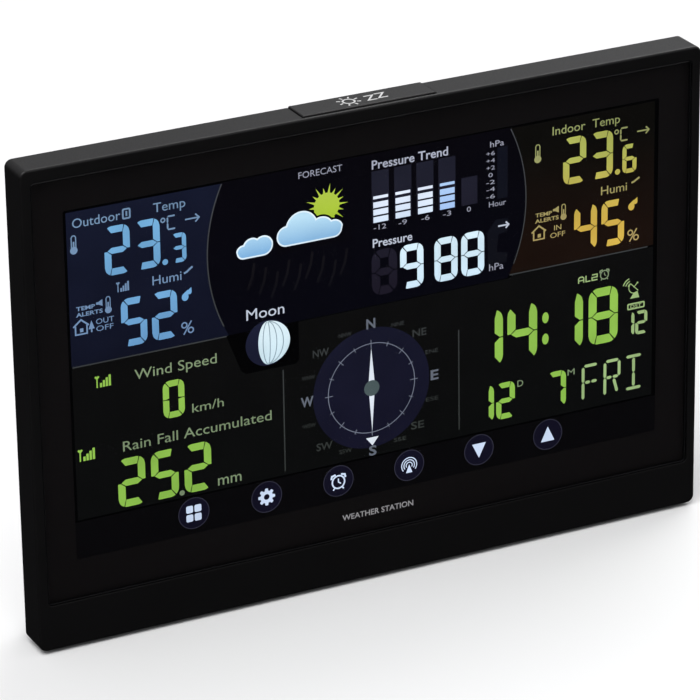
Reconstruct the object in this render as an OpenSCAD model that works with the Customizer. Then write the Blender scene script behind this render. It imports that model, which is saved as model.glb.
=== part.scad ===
// Desk console of a home weather station: colour display, touch keys, snooze bar,
// fold-out foot and battery bay. Millimetres, X to the right, Y to the back, Z up.
// The origin is on the desk, under the middle of the whole object with its foot open.

/* [Case] */
// Width of the front frame
case_w = 200; // [196:0.5:210]
// Height of the front frame, without its pads
case_h = 136; // [134:0.5:142]
// Depth of the front frame, up to the parting line
frame_d = 10; // [9.6:0.1:11]
// Depth of the rear cover at its edges, behind the parting line
cover_d = 7.5; // [7:0.1:9]
// Extra depth of the raised middle of the rear cover
hump_d = 6; // [6:0.1:8]
// Height of the raised middle, from the bottom of the rear cover
hump_h = 103; // [101:1:108]
// How far the rear cover is set in from the front frame
cover_inset = 2.4; // [1.6:0.1:3]
// Radius of the case's upright corners
corner_r = 2.1; // [2:0.1:4]
// Rounding of the edge round its front
edge_r = 0.7; // [0.4:0.1:1.2]
// Thickness of the case walls
wall = 2.2; // [1.8:0.1:2.4]
// Thickness of the rubber pads under the case
pad_t = 1; // [0.8:0.1:1.5]

/* [Display] */
// Width of the lens
lens_w = 194.3; // [190:0.1:195]
// Height of the lens
lens_h = 119.2; // [117:0.1:120]
// Thickness of the lens
lens_t = 1.5; // [1:0.1:1.8]
// Height of the frame's rim above the lens
rim_top = 3.8; // [3.2:0.1:4.2]
// Width of the display's lit area
view_w = 175.2; // [170:0.1:177]
// Height of the display's lit area
view_h = 87.5; // [86:0.1:88]
// Distance from the top of the lens down to the lit area
view_drop = 10; // [9:0.1:11]
// Height of the dark strip of touch keys under the lit area
strip_h = 10.6; // [10:0.1:11]

/* [Touch keys] */
// Number of touch keys
key_count = 6; // [2:1:6]
// Distance from key to key
key_pitch = 21.5; // [18:0.5:23]
// Outer diameter of the light shroud behind each key
key_d = 6.8; // [6.4:0.1:6.8]

/* [Snooze bar] */
// Length of the snooze bar
bar_w = 39; // [30:1:44]
// How far the bar stands out of the top of the frame
bar_rise = 0.4; // [0.4:0.1:1.2]
// How far the bar travels when it is pressed
bar_travel = 0.4; // [0.3:0.1:0.5]

/* [Foot] */
// Width of the foot
foot_w = 90; // [80:1:94]
// Length of the foot from its hinge to its tip
foot_l = 56.7; // [50:0.1:56.7]
// Thickness of the foot's plate
foot_t = 3.4; // [3:0.1:3.4]
// Radius of the foot's hinge pins
pin_r = 1; // [0.9:0.05:1.1]

/* [Battery bay] */
// Diameter of one AAA cell
cell_d = 10.5; // [10.3:0.1:10.5]
// Length of one AAA cell, with its cap
cell_l = 44.5; // [43.3:0.1:44.5]
// Number of cells, one above the other
cell_count = 3; // [2:1:3]

/* [Hidden] */

round_fn = 48;         // facets on round features
soft_step = 15;        // degrees between the slices of a rounded edge

// Hinge of the foot
pad_proud = 0.8;                               // rubber pads under the foot's plate
axis_z = pad_proud + foot_t + 0.8;             // height of the hinge axis
back_y = frame_d + cover_d + hump_d;           // rearmost face of the cover
axis_y = back_y - (axis_z - pad_proud);        // so the folded foot ends flush with the back
knuckle_r = 3.6;                               // hinge knuckles of the foot
knuckle_l = 12;
plate_gap = 4;                                 // from the hinge axis to the foot's plate
recess_gap = 0.5;                              // room round the folded foot
foot_z0 = pad_proud;                           // underside of the open foot
foot_z1 = pad_proud + foot_t;                  // top of the open foot
ear_t = 5;                                     // bearing ears of the cover

// Heights
case_z0 = pad_t;
case_z1 = pad_t + case_h;
cover_z0 = case_z0 + cover_inset;
cover_z1 = case_z1 - cover_inset;
cover_w = case_w - 2 * cover_inset;
hump_z1 = cover_z0 + hump_h;
hump_w = 168;
lens_z1 = case_z1 - rim_top;
lens_z0 = lens_z1 - lens_h;
view_z1 = lens_z1 - view_drop;
view_z0 = view_z1 - view_h;
strip_z0 = view_z0 - strip_h;
key_z = strip_z0 + 5.8;

// Depths, from the front face of the frame
rim_proud = 0.4;
lens_y = rim_proud;
gasket_t = 0.2;
ledge_y = lens_y + lens_t + gasket_t;          // where the frame carries the lens
front_t = ledge_y + 1.4;                       // thickness of the frame's front wall
lcd_y = ledge_y + 0.05;                        // the display reaches through the window
lcd_t = 2;
guide_y = lcd_y + lcd_t + 0.4;
guide_t = 2;
holder_y1 = guide_y + guide_t + 1.3;           // back of the display tray
board_y = 12;
board_t = 1.6;
nest = 1.5;                                    // how far the cover reaches into the frame
cover_y0 = frame_d - nest;
cover_y1 = frame_d + cover_d;
cell_w = view_w + 5.6;                         // glass of the display
glass_z0 = view_z0 - 0.3;
glass_z1 = view_z1 + 1.6;
window_gap = 0.3;
window_w = cell_w + 2 * window_gap;
window_z0 = strip_z0 - window_gap;
window_z1 = glass_z1 + window_gap;

// Whole object
total_d = axis_y + foot_l;
front_y = -total_d / 2;                        // front face of the frame in the object's own axes

// Battery bay, in the right half of the raised middle
cell_pitch = cell_d + 0.4;
bay_w = cell_l + 7;
bay_h = cell_count * cell_pitch + 1.2;
cell_x1 = bay_w / 2 - 0.5;                     // where each cell meets its plate
bay_x = 50;
bay_z = 84;
door_t = 1.3;
cell_y = back_y - door_t - 0.25 - cell_d / 2;
bay_y0 = cell_y - cell_d / 2 - 0.1;            // floor of the bay
bay_wall = 1.2;
door_w = bay_w + 3;
door_h = bay_h + 3;
door_lip = 1.1;                                // tongues that run in the cover's grooves
grip_x = 70;                                   // ribbed finger grip

// Snooze bar
bar_y0 = 1.3;                                  // front and back of its visible top
bar_y1 = frame_d + 0.2;
stem_y0 = 3.4;                                 // the part that goes down into the case
cap_t = 1.4;                                   // how deep the visible top sits in the frame
bar_gap = 0.3;
flange = 1.3;
flange_t = 1.6;
flange_z1 = cover_z1 - wall - 0.3;
bar_soft = 0.35;                               // rounding of its top edges
plunger_r = 1.3;
bar_z0 = flange_z1 - flange_t;
switch_y = board_y;
switch_z1 = bar_z0 - 4;
switch_hole = bar_travel + 1.2;                // depth of the plunger's hole in the switch

// Places on the front and back faces
screw_r = 1.25;
screw_x = 90;
screw_zs = [11, 129.6];
post_x = 89.6;
post_zs = [45, 100];
buzzer_x = -66;
buzzer_z = 58;
ferrite_x = 66;
ferrite_r = 3.2;
ferrite_y = back_y - wall - 4.4;
board_x0 = -87;
board_x1 = 20;
board_z0 = 38;
board_z1 = 126;
board_screw_r = 1.1;
screw_spots = [[-83, 42], [16, 42], [-83, 114], [16, 114]];
jack_x = -66;
jack_z = 88;
key_x0 = -(key_count - 1) / 2 * key_pitch;
hole_x = 60;
hole_z = 118;
holder_w = view_w + 9;
holder_z0 = view_z0 - 1.2;
holder_z1 = view_z1 + 3.2;
touch_y = 8.2;

module in_place() { translate([0, front_y, 0]) children(); }

// Rectangle with round corners, true circles
module rounded_rect(w, h, r) {
    square([w - 2 * r, h], center = true);
    square([w, h - 2 * r], center = true);
    for (x = [-1, 1], z = [-1, 1])
        translate([x * (w / 2 - r), z * (h / 2 - r)]) circle(r, $fn = round_fn);
}

// Upright plate with round corners, from depth y0 to y1 and from height z0 to z1
module slab(w, z0, z1, r, y0, y1) {
    translate([0, y1, (z0 + z1) / 2])
        rotate([90, 0, 0]) linear_extrude(y1 - y0) rounded_rect(w, z1 - z0, r);
}

// The same plate with its edges at y0 rounded by e
module soft_front(w, z0, z1, r, y0, y1, e) {
    hull() for (a = [0 : soft_step : 90]) {
        inset = e * (1 - sin(a));
        slab(w - 2 * inset, z0 + inset, z1 - inset, max(r - inset, 0.4), y0 + e * (1 - cos(a)), y1);
    }
}

// The same plate with its edges at y1 rounded by e
module soft_back(w, z0, z1, r, y0, y1, e) {
    hull() for (a = [0 : soft_step : 90]) {
        inset = e * (1 - sin(a));
        slab(w - 2 * inset, z0 + inset, z1 - inset, max(r - inset, 0.4), y0, y1 - e * (1 - cos(a)));
    }
}

module block(x0, x1, y0, y1, z0, z1) { translate([x0, y0, z0]) cube([x1 - x0, y1 - y0, z1 - z0]); }

// Round bar along Y, from y0 to y1
module rod_y(x, z, r, y0, y1) {
    translate([x, y1, z]) rotate([90, 0, 0]) cylinder(r = r, h = y1 - y0, $fn = round_fn);
}

// Round bar along X, from x0 to x1
module rod_x(y, z, r, x0, x1) {
    translate([x0, y, z]) rotate([0, 90, 0]) cylinder(r = r, h = x1 - x0, $fn = round_fn);
}

// Places its children at each touch key
module at_keys() {
    for (i = [0 : key_count - 1]) translate([key_x0 + i * key_pitch, 0, key_z]) children();
}

module at_case_screws() {
    for (x = [-screw_x, screw_x], z = screw_zs) translate([x, 0, z]) children();
}

// Slot of the snooze bar through the top of both shells
module bar_slot(gap) {
    block(-bar_w / 2 - gap, bar_w / 2 + gap, bar_y0 - gap, bar_y1 + gap,
        case_z1 - cap_t - bar_travel - 0.2, case_z1 + 5);
    block(-bar_w / 2 - gap, bar_w / 2 + gap, stem_y0 - gap, bar_y1 + gap, cover_z1 - 6, case_z1 + 5);
}

// ---- shells ----

module front_frame() color([0.07, 0.07, 0.075]) in_place() difference() {
    union() {
        difference() {
            soft_front(case_w, case_z0, case_z1, corner_r, 0, frame_d, edge_r);
            slab(case_w - 2 * wall, case_z0 + wall, case_z1 - wall, 1.2, front_t, frame_d + 1);
        }
        at_case_screws() rod_y(0, 0, 2.8, front_t - 0.4, frame_d);
    }
    at_case_screws() rod_y(0, 0, screw_r, front_t + 1.5, frame_d + 1);
    slab(lens_w + 0.3, lens_z0 - 0.15, lens_z1 + 0.15, 1.3, -1, ledge_y);
    slab(window_w, window_z0, window_z1, 1, ledge_y - 1, front_t + 1);
    bar_slot(bar_gap);
    for (x = [-1, 1]) translate([x * 72, 0, 0]) block(-15, 15, 2.6, 8.4, case_z0 - 1, case_z0 + 0.5);
}

module cover_hump() soft_back(hump_w, cover_z0, hump_z1, 5, frame_d + 1, back_y, 2.4);

module cover_outline() {
    soft_back(cover_w, cover_z0, cover_z1, corner_r, cover_y0, cover_y1, 2.4);
    cover_hump();
}

module foot_recess() {
    slab(foot_w + 2 * recess_gap, -20, axis_z + foot_l + recess_gap + 0.3, 4, axis_y + 0.3, back_y + 1);
    rod_y(0, axis_z + foot_l, 9, back_y - 1.3, back_y + 1);
    block(-foot_w / 2 - recess_gap, foot_w / 2 + recess_gap,
        axis_y - knuckle_r - 0.4, back_y + 1, -1, axis_z + knuckle_r + 0.5);
}

module foot_recess_walls() {
    wall_y = back_y - 2;
    block(-foot_w / 2 - 3, foot_w / 2 + 3, axis_y - 1.5, wall_y, cover_z0 + 0.6, axis_z + foot_l + 2.5);
    block(-foot_w / 2 - ear_t, foot_w / 2 + ear_t,
        axis_y - knuckle_r - 2, wall_y, cover_z0 + 0.6, axis_z + knuckle_r + 2);
}

module bay_walls() {
    translate([bay_x, 0, bay_z])
        block(-bay_w / 2 - bay_wall, bay_w / 2 + bay_wall, bay_y0 - bay_wall, back_y - 1,
            -bay_h / 2 - bay_wall, bay_h / 2 + bay_wall);
}

module bay_cut() translate([bay_x, 0, bay_z]) {
    block(-bay_w / 2, bay_w / 2, bay_y0, back_y + 1, -bay_h / 2, bay_h / 2);
    // seat of the door, open to the right-hand end of the raised middle
    block(-door_w / 2, hump_w / 2, back_y - door_t, back_y + 1, -door_h / 2, door_h / 2);
    // grooves for the door's tongues
    for (s = [-1, 1])
        block(-door_w / 2, hump_w / 2, back_y - door_t - 0.25, back_y - door_t + 0.6,
            s * door_h / 2 - door_lip - 0.2, s * door_h / 2 + door_lip + 0.2);
}

module keyholes() {
    for (x = [-hole_x, hole_x]) {
        rod_y(x, hole_z, 4.2, cover_y1 - 4.5, cover_y1 + 1);
        block(x - 2.1, x + 2.1, cover_y1 - 4.5, cover_y1 + 1, hole_z, hole_z + 6.5);
        rod_y(x, hole_z + 6.5, 2.1, cover_y1 - 4.5, cover_y1 + 1);
        // room for the screw's head behind the slot
        block(x - 4.2, x + 4.2, cover_y1 - 4.5, cover_y1 - 1.8, hole_z, hole_z + 10.5);
    }
}

module keyhole_pockets() {
    for (x = [-hole_x, hole_x])
        block(x - 6, x + 6, cover_y1 - 6, cover_y1 - 1, hole_z - 6, hole_z + 12);
}

// Vents for the indoor sensor and holes over the buzzer
module vents() {
    for (i = [0 : 7]) translate([-40 + i * 4, 0, 112]) slab(1.6, 0, 11, 0.6, cover_y1 - 4, cover_y1 + 1);
    for (i = [-2 : 2], j = [-2 : 2])
        if (abs(i) + abs(j) < 4)
            rod_y(buzzer_x + i * 3, buzzer_z + j * 3, 0.7, back_y - 4, back_y + 1);
}

// Bosses of the case screws, and posts that hold the display tray against the frame
module cover_posts() {
    at_case_screws() rod_y(0, 0, 3.4, frame_d + 0.05, cover_y1 - 1);
    for (x = [-post_x, post_x], z = post_zs) rod_y(x, z, 1.6, holder_y1, cover_y1 - 1);
}

// Two saddles for the ferrite rod
module ferrite_saddles() difference() {
    for (z = [16, 34]) block(ferrite_x - 4.5, ferrite_x + 4.5, ferrite_y, back_y - 1, z, z + 3);
    ferrite_bar(0.05);
}

module ferrite_bar(gap) {
    translate([ferrite_x, ferrite_y, 12]) cylinder(r = ferrite_r + gap, h = 46, $fn = round_fn);
}

module rear_cover() color([0.08, 0.08, 0.085]) in_place() difference() {
    union() {
        difference() {
            cover_outline();
            slab(cover_w - 2 * wall, cover_z0 + wall, cover_z1 - wall, 1.2, cover_y0 - 1, cover_y1 - wall);
            slab(hump_w - 2 * wall - 2, cover_z0 + wall, hump_z1 - wall - 1, 3, frame_d, back_y - wall);
        }
        foot_recess_walls();
        bay_walls();
        keyhole_pockets();
        cover_posts();
        ferrite_saddles();
        // ears under the cover's edge, round the foot's pins
        for (s = [-1, 1])
            rod_x(axis_y, axis_z, knuckle_r, s * (foot_w / 2 + 2.75) - ear_t / 2 + 0.25,
                s * (foot_w / 2 + 2.75) + ear_t / 2 - 0.25);
    }
    foot_recess();
    bay_cut();
    keyholes();
    vents();
    bar_slot(bar_gap);
    rod_x(axis_y, axis_z, pin_r, -foot_w / 2 - ear_t - 1, foot_w / 2 + ear_t + 1);
    rod_y(jack_x, jack_z, 5, back_y - 5, back_y + 1);
    at_case_screws() {
        rod_y(0, 0, 2.6, cover_y1 - 3.2, cover_y1 + 1);
        rod_y(0, 0, screw_r + 0.15, frame_d - 1, cover_y1);
    }
}

module case_screws() color([0.3, 0.3, 0.32]) in_place() at_case_screws() difference() {
    union() {
        rod_y(0, 0, 2.3, cover_y1 - 3.2, cover_y1 - 1.6);
        rod_y(0, 0, screw_r, front_t + 2, cover_y1 - 3.2);
    }
    for (a = [0, 90]) translate([0, cover_y1 - 1.6, 0]) rotate([0, a, 0])
        cube([2.6, 1.4, 0.6], center = true);
}

module case_pads() color([0.12, 0.12, 0.12]) in_place()
    for (x = [-1, 1]) translate([x * 72, 0, 0]) block(-14.8, 14.8, 2.8, 8.2, 0, case_z0 + 0.5);

// ---- window and display ----

module display_lens() color([0.05, 0.05, 0.06, 0.9]) in_place()
    slab(lens_w, lens_z0, lens_z1, 1.2, lens_y, lens_y + lens_t);

module lens_gasket() color([0.1, 0.1, 0.1]) in_place() difference() {
    slab(lens_w - 1, lens_z0 + 0.5, lens_z1 - 0.5, 1, lens_y + lens_t, ledge_y);
    slab(window_w + 1, window_z0 - 0.5, window_z1 + 0.5, 1, lens_y, ledge_y + 1);
}

module lcd_panel() color([0.03, 0.04, 0.08]) in_place()
    slab(cell_w, glass_z0, glass_z1, 0.5, lcd_y, lcd_y + lcd_t);

module diffuser_sheet() color([0.95, 0.95, 0.93]) in_place()
    slab(cell_w, glass_z0, glass_z1, 0.5, lcd_y + lcd_t + 0.05, lcd_y + lcd_t + 0.35);

module light_guide() color([0.85, 0.92, 0.95, 0.6]) in_place()
    slab(view_w, glass_z0, glass_z1, 0.5, guide_y, guide_y + guide_t);

module reflector_sheet() color([0.97, 0.97, 0.97]) in_place()
    slab(cell_w, glass_z0, glass_z1, 0.5, guide_y + guide_t + 0.02, guide_y + guide_t + 0.22);

module backlight_bars() color([0.9, 0.88, 0.6]) in_place() for (s = [-1, 1]) {
    bar_x = s * (view_w / 2 + 1.4);
    block(bar_x - 1, bar_x + 1, guide_y, guide_y + guide_t, view_z0 + 2, view_z1 - 2);
}

module lcd_holder() color([0.93, 0.93, 0.91]) in_place() difference() {
    union() {
        slab(holder_w, holder_z0, holder_z1, 1.5, front_t + 0.1, holder_y1);
        for (p = screw_spots) rod_y(p[0], p[1], 2.6, holder_y1 - 0.5, board_y);
    }
    slab(cell_w + 0.4, glass_z0 - 0.2, glass_z1 + 0.2, 0.6, lcd_y - 1, guide_y + guide_t + 0.3);
    for (p = screw_spots) rod_y(p[0], p[1], board_screw_r, holder_y1 - 0.4, board_y + 1);
}

module lcd_connector() color([0.75, 0.35, 0.45]) in_place()
    block(-50, 50, holder_y1, board_y, view_z1 - 5.2, view_z1 - 2.8);

// ---- touch keys ----

module touch_board() color([0.1, 0.35, 0.2]) in_place()
    slab(2 * abs(key_x0) + 14, strip_z0 - 1.5, holder_z0 - 0.3, 1, touch_y, touch_y + 1.2);

module key_shrouds() color([0.9, 0.9, 0.88]) in_place() at_keys() difference() {
    rod_y(0, 0, key_d / 2, ledge_y + 0.1, touch_y);
    rod_y(0, 0, key_d / 2 - 0.8, ledge_y - 1, touch_y + 1);
}

// One coil is drawn as four rings on a post, with a plate at the lens
module touch_springs() color([0.8, 0.78, 0.7]) in_place() at_keys() {
    for (i = [0 : 3])
        translate([0, ledge_y + 0.9 + i * 1.3, 0]) rotate([90, 0, 0])
            rotate_extrude($fn = round_fn) translate([2.1, 0]) circle(0.22, $fn = 16);
    rod_y(2.1, 0, 0.2, ledge_y + 0.4, touch_y);
    difference() {
        rod_y(0, 0, 2.4, ledge_y + 0.1, ledge_y + 0.45);
        rod_y(0, 0, 1.7, ledge_y - 1, ledge_y + 1);
    }
}

module key_leds() color([0.95, 0.95, 0.8]) in_place() at_keys()
    block(-0.9, 0.9, touch_y - 0.9, touch_y, -0.6, 0.6);

module touch_ribbon() color([0.85, 0.85, 0.8]) in_place() {
    block(-20, -8, touch_y + 1.2, touch_y + 1.4, strip_z0 + 1, strip_z0 + 4);
    block(-20, -8, touch_y + 1.2, board_y, strip_z0 + 0.8, strip_z0 + 1);
    block(-20, -8, board_y - 0.25, board_y - 0.05, strip_z0 + 0.8, 44);
}

// ---- electronics ----

module main_board() color([0.08, 0.32, 0.18]) in_place() difference() {
    block(board_x0, board_x1, board_y, board_y + board_t, board_z0, board_z1);
    for (p = screw_spots) rod_y(p[0], p[1], board_screw_r + 0.15, board_y - 1, board_y + board_t + 1);
    block(-3.4, 3.4, board_y - 1, board_y + board_t + 1, switch_z1 - 4.8, board_z1 + 1);
    // clear of the keyhole's pocket
    block(-hole_x - 7, -hole_x + 7, board_y - 1, board_y + board_t + 1, hole_z - 7, board_z1 + 1);
}

module control_chips() color([0.1, 0.1, 0.11]) in_place() {
    back = board_y + board_t;
    block(-34, -20, back, back + 1.4, 72, 86);
    block(-8, 0, back, back + 1.2, 76, 82);
    block(-12, 2, board_y - 1.2, board_y, 92, 99);
}

module board_parts() color([0.2, 0.2, 0.25]) in_place() {
    back = board_y + board_t;
    for (p = [[-48, 98], [-40, 98]]) rod_y(p[0], p[1], 3, back, back + 5);
    for (i = [0 : 5]) block(-32 + i * 4, -30 + i * 4, back, back + 0.7, 90, 91.2);
    block(-15, -11, back, back + 1.2, 70, 71.6);
    block(-21, -7, board_y - 1.5, board_y - 0.25, 44, 48);
}

module board_screws() color([0.75, 0.75, 0.72]) in_place() for (p = screw_spots) {
    rod_y(p[0], p[1], 2.2, board_y + board_t, board_y + board_t + 1.2);
    rod_y(p[0], p[1], board_screw_r, holder_y1 + 0.2, board_y + board_t);
}

module radio_module() color([0.75, 0.76, 0.78]) in_place()
    block(-16, 8, board_y + board_t, board_y + board_t + 1.5, 104, 116);

// Stiff wire, back from the module's edge and then along the top of the case
module radio_antenna() color([0.7, 0.25, 0.15]) in_place() {
    wire_y = cover_y1 - wall - 0.8;
    wire_z = 109;
    rod_y(10, wire_z, 0.4, board_y + board_t, wire_y + 0.4);
    rod_x(wire_y, wire_z, 0.4, 9.6, 52);
}

module time_ferrite() color([0.25, 0.25, 0.27]) in_place() ferrite_bar(0);

module time_coil() color([0.75, 0.42, 0.2]) in_place() translate([ferrite_x, ferrite_y, 39])
    difference() {
        cylinder(r = ferrite_r + 1, h = 16, $fn = round_fn);
        translate([0, 0, -1]) cylinder(r = ferrite_r, h = 18, $fn = round_fn);
    }

module pressure_sensor() color([0.8, 0.8, 0.82]) in_place()
    block(-54, -50.5, board_y + board_t, board_y + board_t + 1.1, 74, 77.5);

module climate_sensor() color([0.92, 0.92, 0.92]) in_place()
    block(-32, -28.5, board_y + board_t, board_y + board_t + 1.1, 116, 119.5);

module buzzer() color([0.12, 0.12, 0.12]) in_place() difference() {
    rod_y(buzzer_x, buzzer_z, 8.5, board_y + board_t, back_y - wall - 0.3);
    rod_y(buzzer_x, buzzer_z, 1.5, back_y - wall - 2, back_y);
}

module dc_jack() color([0.1, 0.1, 0.1]) in_place() {
    difference() {
        union() {
            block(jack_x - 5.5, jack_x + 5.5, board_y + board_t, back_y - wall - 0.2, jack_z - 6, jack_z + 6);
            rod_y(jack_x, jack_z, 4.8, back_y - wall - 0.3, back_y - 0.4);
        }
        rod_y(jack_x, jack_z, 2.85, board_y + board_t + 1, back_y + 1);
    }
    rod_y(jack_x, jack_z, 1.05, board_y + board_t + 1, back_y - 1.6);
}

// ---- snooze bar ----

module snooze_bar() color([0.07, 0.07, 0.075]) in_place() {
    hull() for (a = [0 : 30 : 90]) {
        inset = bar_soft * (1 - sin(a));
        block(-bar_w / 2 + inset, bar_w / 2 - inset, bar_y0 + inset, bar_y1 - inset,
            case_z1 - cap_t, case_z1 + bar_rise - bar_soft * (1 - cos(a)));
    }
    block(-bar_w / 2, bar_w / 2, stem_y0, bar_y1, bar_z0, case_z1 - cap_t + 0.5);
    block(-bar_w / 2 - flange, bar_w / 2 + flange, stem_y0 + 0.5, switch_y + 2.6, bar_z0, flange_z1);
}

module snooze_switch() color([0.15, 0.15, 0.15]) in_place() difference() {
    block(-3, 3, switch_y - 1.9, switch_y + 1.9, switch_z1 - 4.4, switch_z1);
    translate([0, switch_y, switch_z1 - switch_hole])
        cylinder(r = plunger_r + 0.08, h = switch_hole + 1, $fn = round_fn);
}

module switch_plunger() color([0.85, 0.8, 0.3]) in_place()
    translate([0, switch_y, switch_z1 - 1])
        cylinder(r = plunger_r, h = bar_z0 - 0.05 - switch_z1 + 1, $fn = round_fn);

// ---- battery bay ----

module at_cells() {
    for (i = [0 : cell_count - 1])
        translate([bay_x, cell_y, bay_z + (i - (cell_count - 1) / 2) * cell_pitch])
            rotate([0, 0, i % 2 == 0 ? 0 : 180]) children();
}

module aaa_cells() color([0.75, 0.6, 0.25]) in_place() at_cells() {
    rod_x(0, 0, cell_d / 2, cell_x1 - cell_l, cell_x1 - 1);
    rod_x(0, 0, 1.9, cell_x1 - 1, cell_x1);
}

module cell_plates() color([0.8, 0.8, 0.82]) in_place() at_cells()
    block(cell_x1, cell_x1 + 0.4, -4, 4, -4, 4);

// Each spring is a tapering stack of rings on two posts, in front of its plate
module cell_springs() color([0.82, 0.82, 0.84]) in_place() at_cells() {
    block(-bay_w / 2 + 0.1, -bay_w / 2 + 0.5, -4, 4, -4, 4);
    for (i = [0 : 3])
        translate([cell_x1 - cell_l - 0.3 - i * 1.5, 0, 0]) rotate([0, 90, 0])
            rotate_extrude($fn = round_fn) translate([2.2 + i * 0.3, 0]) circle(0.3, $fn = 16);
    for (s = [-1, 1]) rod_x(0, s * 2.65, 0.3, -bay_w / 2 + 0.4, cell_x1 - cell_l - 0.1);
}

module battery_door() color([0.08, 0.08, 0.085]) in_place() difference() {
    intersection() {
        cover_hump();
        translate([bay_x, 0, bay_z]) {
            block(-door_w / 2 + 0.3, hump_w, back_y - door_t, back_y + 1, -door_h / 2 + 0.3, door_h / 2 - 0.3);
            // tongues
            block(-door_w / 2 + 0.3, hump_w, back_y - door_t, back_y - door_t + 0.4,
                -door_h / 2 - door_lip + 0.3, door_h / 2 + door_lip - 0.3);
        }
    }
    // finger grip
    for (i = [0 : 4])
        block(grip_x + i * 1.2, grip_x + 0.6 + i * 1.2, back_y - 0.5, back_y + 1, bay_z - 8, bay_z + 8);
}

// ---- foot ----

module foot() color([0.08, 0.08, 0.085]) in_place() difference() {
    union() {
        foot_plate();
        for (s = [-1, 1]) translate([s * (foot_w / 2 - knuckle_l / 2), 0, 0]) {
            rod_x(axis_y, axis_z, knuckle_r, -knuckle_l / 2, knuckle_l / 2);
            block(-knuckle_l / 2, knuckle_l / 2, axis_y, axis_y + plate_gap + 4, foot_z0, foot_z1);
        }
    }
    rod_x(axis_y, axis_z, pin_r + 0.05, -foot_w, foot_w);
    for (s = [-1, 1]) translate([s * 30, axis_y + foot_l - 9, 0])
        translate([-9, -3.5, foot_z0 - 1]) cube([18, 7, 1.5]);
}

// Plate of the foot, with round corners at its tip
module foot_plate() {
    tip_r = 8;
    y0 = axis_y + plate_gap;
    y1 = axis_y + foot_l;
    translate([0, 0, foot_z0]) linear_extrude(foot_t) {
        translate([-foot_w / 2, y0]) square([foot_w, y1 - y0 - tip_r]);
        translate([-foot_w / 2 + tip_r, y0]) square([foot_w - 2 * tip_r, y1 - y0]);
        for (s = [-1, 1]) translate([s * (foot_w / 2 - tip_r), y1 - tip_r]) circle(tip_r, $fn = round_fn);
    }
}

module foot_pins() color([0.75, 0.75, 0.76]) in_place() for (s = [-1, 1])
    translate([s * (foot_w / 2 - 1.5), 0, 0]) rod_x(axis_y, axis_z, pin_r, -6, 6);

module foot_pads() color([0.12, 0.12, 0.12]) in_place() for (s = [-1, 1])
    translate([s * 30, axis_y + foot_l - 9, 0]) translate([-8.8, -3.3, 0]) cube([17.6, 6.6, foot_z0 + 0.5]);

front_frame();
display_lens();
lens_gasket();
lcd_panel();
lcd_holder();
diffuser_sheet();
light_guide();
reflector_sheet();
backlight_bars();
lcd_connector();
touch_board();
touch_springs();
key_shrouds();
key_leds();
touch_ribbon();
main_board();
control_chips();
board_parts();
board_screws();
radio_module();
radio_antenna();
time_ferrite();
time_coil();
pressure_sensor();
climate_sensor();
buzzer();
dc_jack();
snooze_bar();
snooze_switch();
switch_plunger();
rear_cover();
aaa_cells();
cell_springs();
cell_plates();
battery_door();
foot();
foot_pins();
foot_pads();
case_pads();
case_screws();
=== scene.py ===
"""Looks of the home weather station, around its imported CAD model.

The display's graphics are thin plates of real geometry between the lens and the display.
Their places are millimetres from the top left corner of the display's lit area: u to the
right, v down.
"""

import math

import bmesh
import bpy
from mathutils import Matrix, Vector


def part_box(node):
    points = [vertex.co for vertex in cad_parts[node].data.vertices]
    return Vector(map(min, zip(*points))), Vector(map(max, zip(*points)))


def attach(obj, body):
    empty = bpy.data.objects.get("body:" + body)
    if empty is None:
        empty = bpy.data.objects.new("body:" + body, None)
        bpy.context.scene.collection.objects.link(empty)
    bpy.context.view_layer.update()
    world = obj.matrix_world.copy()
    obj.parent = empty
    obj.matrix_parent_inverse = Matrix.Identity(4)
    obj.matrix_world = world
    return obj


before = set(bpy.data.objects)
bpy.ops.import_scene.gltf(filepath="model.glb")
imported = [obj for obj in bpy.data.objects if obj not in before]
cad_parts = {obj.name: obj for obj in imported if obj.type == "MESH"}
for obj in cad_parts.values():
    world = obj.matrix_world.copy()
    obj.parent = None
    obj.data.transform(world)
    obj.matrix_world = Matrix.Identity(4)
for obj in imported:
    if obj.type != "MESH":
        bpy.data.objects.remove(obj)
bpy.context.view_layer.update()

MM = 0.001
scene = bpy.context.scene

# ---------------------------------------------------------------- materials


def linear(rgb):
    """0-255 screen colour to linear RGBA."""
    out = []
    for c in rgb:
        c /= 255
        out.append(c / 12.92 if c <= 0.04045 else ((c + 0.055) / 1.055) ** 2.4)
    return (*out, 1.0)


def scaled(rgba, k):
    return (rgba[0] * k, rgba[1] * k, rgba[2] * k, 1.0)


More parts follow.
